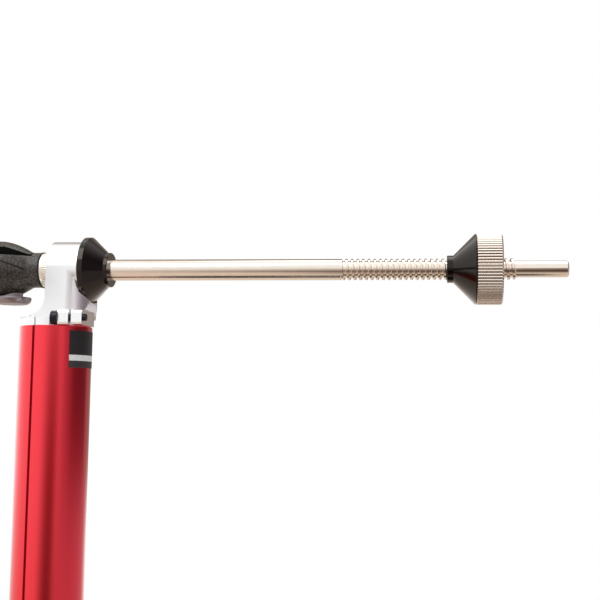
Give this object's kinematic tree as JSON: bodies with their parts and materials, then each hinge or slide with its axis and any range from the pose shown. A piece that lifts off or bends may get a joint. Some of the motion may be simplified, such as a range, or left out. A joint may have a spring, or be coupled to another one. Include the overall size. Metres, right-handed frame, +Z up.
{
  "type": "wheel truing stand",
  "caption": "Single-sided bench stand for truing spoked wheels, with a cantilevered axle, two centring cones, a cam release and a caliper that slides on a round mast.",
  "frame": {"origin": "on the bench, under the middle of the base plate, which is also the wheel's middle plane", "axes": "+Z up, +X along the axle towards its free end, +Y away from the user"},
  "size_m": [0.32, 0.22, 0.415],
  "materials": {
    "powder_coat": "satin",
    "rubber": "matte",
    "black_screw": "satin",
    "zinc": "satin",
    "red_anodised": "satin",
    "label": "satin",
    "bare_alloy": "satin",
    "nickel": "polished",
    "blackened_steel": "polished",
    "cast_black": "textured",
    "grey_barrel": "satin",
    "black_anodised": "satin",
    "brass": "satin",
    "black_plastic": "matte",
    "white_nylon": "matte"
  },
  "bodies": {
    "stand": {"base_plate": "powder_coat", "rubber_feet": "rubber", "foot_screws": "black_screw", "mast_socket": "powder_coat", "socket_screws": "zinc", "socket_nuts": "zinc", "clamp_screws": "zinc", "clamp_nuts": "zinc", "mast": "red_anodised", "mast_label": "label", "head_casting": "bare_alloy", "pinch_screw": "black_screw", "left_cone": "blackened_steel", "knurled_collar": "nickel", "release_body": "cast_black"},
    "lever": {"release_lever": "cast_black", "cam_barrel": "grey_barrel"},
    "axle": {"axle_rod": "nickel", "axle_yoke": "nickel"},
    "cone": {"right_cone": "blackened_steel"},
    "nut": {"cone_nut": "nickel"},
    "carriage": {"carriage_block": "black_anodised", "carriage_key": "nickel", "lock_pad": "brass", "hinge_pin": "nickel"},
    "lock": {"lock_knob": "black_plastic", "lock_stud": "zinc"},
    "arm": {"caliper_arm": "black_anodised"},
    "lateral_drive": {"lateral_knob": "nickel"},
    "lateral_feeler": {"lateral_rod": "nickel", "lateral_tip": "white_nylon"},
    "radial_drive": {"radial_knob": "nickel"},
    "radial_feeler": {"radial_rod": "nickel", "radial_blade": "nickel", "blade_screw": "black_screw"}
  },
  "joints": [
    {"name": "lever_swing", "type": "hinge", "parent": "stand", "child": "lever", "pos_m": [-0.116, 0, 0.4], "axis": [0, 0, -1], "range_deg": [0, 110]},
    {"name": "axle_draw", "type": "slide", "parent": "stand", "child": "axle", "axis": [1, 0, 0], "range_m": [0, 0.00162]},
    {"name": "cone_travel", "type": "slide", "parent": "axle", "child": "cone", "axis": [1, 0, 0], "range_m": [-0.0481, 0.0269]},
    {"name": "nut_spin", "type": "hinge", "parent": "cone", "child": "nut", "pos_m": [0.088, 0, 0.4], "axis": [1, 0, 0], "range_deg": [-7200, 4020]},
    {"name": "carriage_slide", "type": "slide", "parent": "stand", "child": "carriage", "axis": [0, 0, 1], "range_m": [0, 0.16]},
    {"name": "lock_turn", "type": "hinge", "parent": "carriage", "child": "lock", "pos_m": [-0.13, 0, 0.08], "axis": [1, 0, 0], "range_deg": [0, 180]},
    {"name": "arm_swing", "type": "hinge", "parent": "carriage", "child": "arm", "pos_m": [-0.06, 0, 0.08], "axis": [0, 0, 1], "range_deg": [0, 75]},
    {"name": "lateral_travel", "type": "slide", "parent": "arm", "child": "lateral_feeler", "axis": [1, 0, 0], "range_m": [-0.0061, 0.0121]},
    {"name": "lateral_spin", "type": "hinge", "parent": "arm", "child": "lateral_drive", "pos_m": [-0.033, -0.013, 0.088], "axis": [1, 0, 0], "range_deg": [-2160, 4320]},
    {"name": "radial_travel", "type": "slide", "parent": "arm", "child": "radial_feeler", "axis": [0, 0, 1], "range_m": [-0.0081, 0.0141]},
    {"name": "radial_spin", "type": "hinge", "parent": "arm", "child": "radial_drive", "pos_m": [-0.033, 0.013, 0.053], "axis": [0, 0, 1], "range_deg": [-2880, 5040]}
  ],
  "couplings": [
    {"joint": "axle_draw", "follows": "lever_swing", "m_per_rad": 0.00083882},
    {"joint": "cone_travel", "follows": "nut_spin", "m_per_rad": 0.00038197},
    {"joint": "lateral_travel", "follows": "lateral_spin", "m_per_rad": 0.00015915},
    {"joint": "radial_travel", "follows": "radial_spin", "m_per_rad": 0.00015915}
  ]
}
